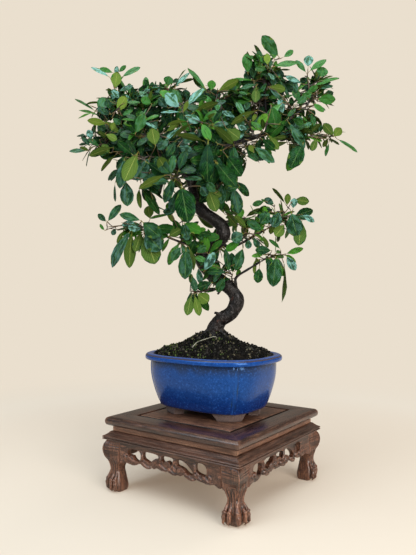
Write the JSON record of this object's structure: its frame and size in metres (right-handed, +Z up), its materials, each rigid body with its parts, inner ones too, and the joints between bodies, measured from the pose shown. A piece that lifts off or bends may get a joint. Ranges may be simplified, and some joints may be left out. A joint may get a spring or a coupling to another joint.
{
  "type": "firethorn bonsai",
  "caption": "Firethorn bonsai with a winding trunk and a leafy crown, in a blue glazed pot on a carved hardwood stand.",
  "frame": {"origin": "on the ground under the middle of the whole, where the stand's feet rest", "axes": "+Z up; X and Y along the sides of the square stand, with the stand's front towards -Y. The tree's broad front faces between +X and -Y, 35.5 degrees round from -Y."},
  "size_m": [0.3588, 0.2922, 0.6791],
  "materials": {
    "stand_wood": "satin",
    "panel_wood": "satin",
    "blue_glaze": "gloss",
    "drain_mesh": "matte",
    "soil": "matte",
    "bark": "matte",
    "leaves": "satin"
  },
  "bodies": {
    "root": {"stand_rail_front": "stand_wood", "stand_rail_right": "stand_wood", "stand_rail_back": "stand_wood", "stand_rail_left": "stand_wood", "stand_waist_front": "stand_wood", "stand_waist_right": "stand_wood", "stand_waist_back": "stand_wood", "stand_waist_left": "stand_wood", "stand_cornice_front": "stand_wood", "stand_cornice_right": "stand_wood", "stand_cornice_back": "stand_wood", "stand_cornice_left": "stand_wood", "stand_apron_front": "stand_wood", "stand_apron_right": "stand_wood", "stand_apron_back": "stand_wood", "stand_apron_left": "stand_wood", "stand_leg_front_right": "stand_wood", "stand_leg_back_right": "stand_wood", "stand_leg_back_left": "stand_wood", "stand_leg_front_left": "stand_wood", "stand_panel": "panel_wood", "pot": "blue_glaze", "drain_mesh_left": "drain_mesh", "drain_mesh_right": "drain_mesh", "soil": "soil", "trunk_and_branches": "bark", "spray_left_tip": "leaves", "spray_left_low": "leaves", "spray_left_top": "leaves", "spray_left_rise": "leaves", "spray_left_front": "leaves", "spray_left_back": "leaves", "spray_crown_left": "leaves", "spray_crown_back": "leaves", "spray_crown_top": "leaves", "spray_crown_front": "leaves", "spray_crown_rear": "leaves", "spray_right_top": "leaves", "spray_right_rise": "leaves", "spray_right_end": "leaves", "spray_right_low": "leaves", "spray_right_tip": "leaves", "spray_right_back": "leaves", "spray_middle_front": "leaves", "spray_middle_under": "leaves", "spray_back_right": "leaves", "spray_back_left": "leaves", "spray_back_low": "leaves", "spray_front_left": "leaves", "spray_front_centre": "leaves", "spray_front_right": "leaves", "spray_lower_left_end": "leaves", "spray_lower_left_near": "leaves", "spray_lower_right_end": "leaves", "spray_lower_right_mid": "leaves", "spray_low_right_end": "leaves", "spray_low_centre": "leaves", "spray_lowest_left": "leaves", "spray_lower_rear": "leaves", "spray_upper_rear": "leaves"}
  },
  "joints": []
}
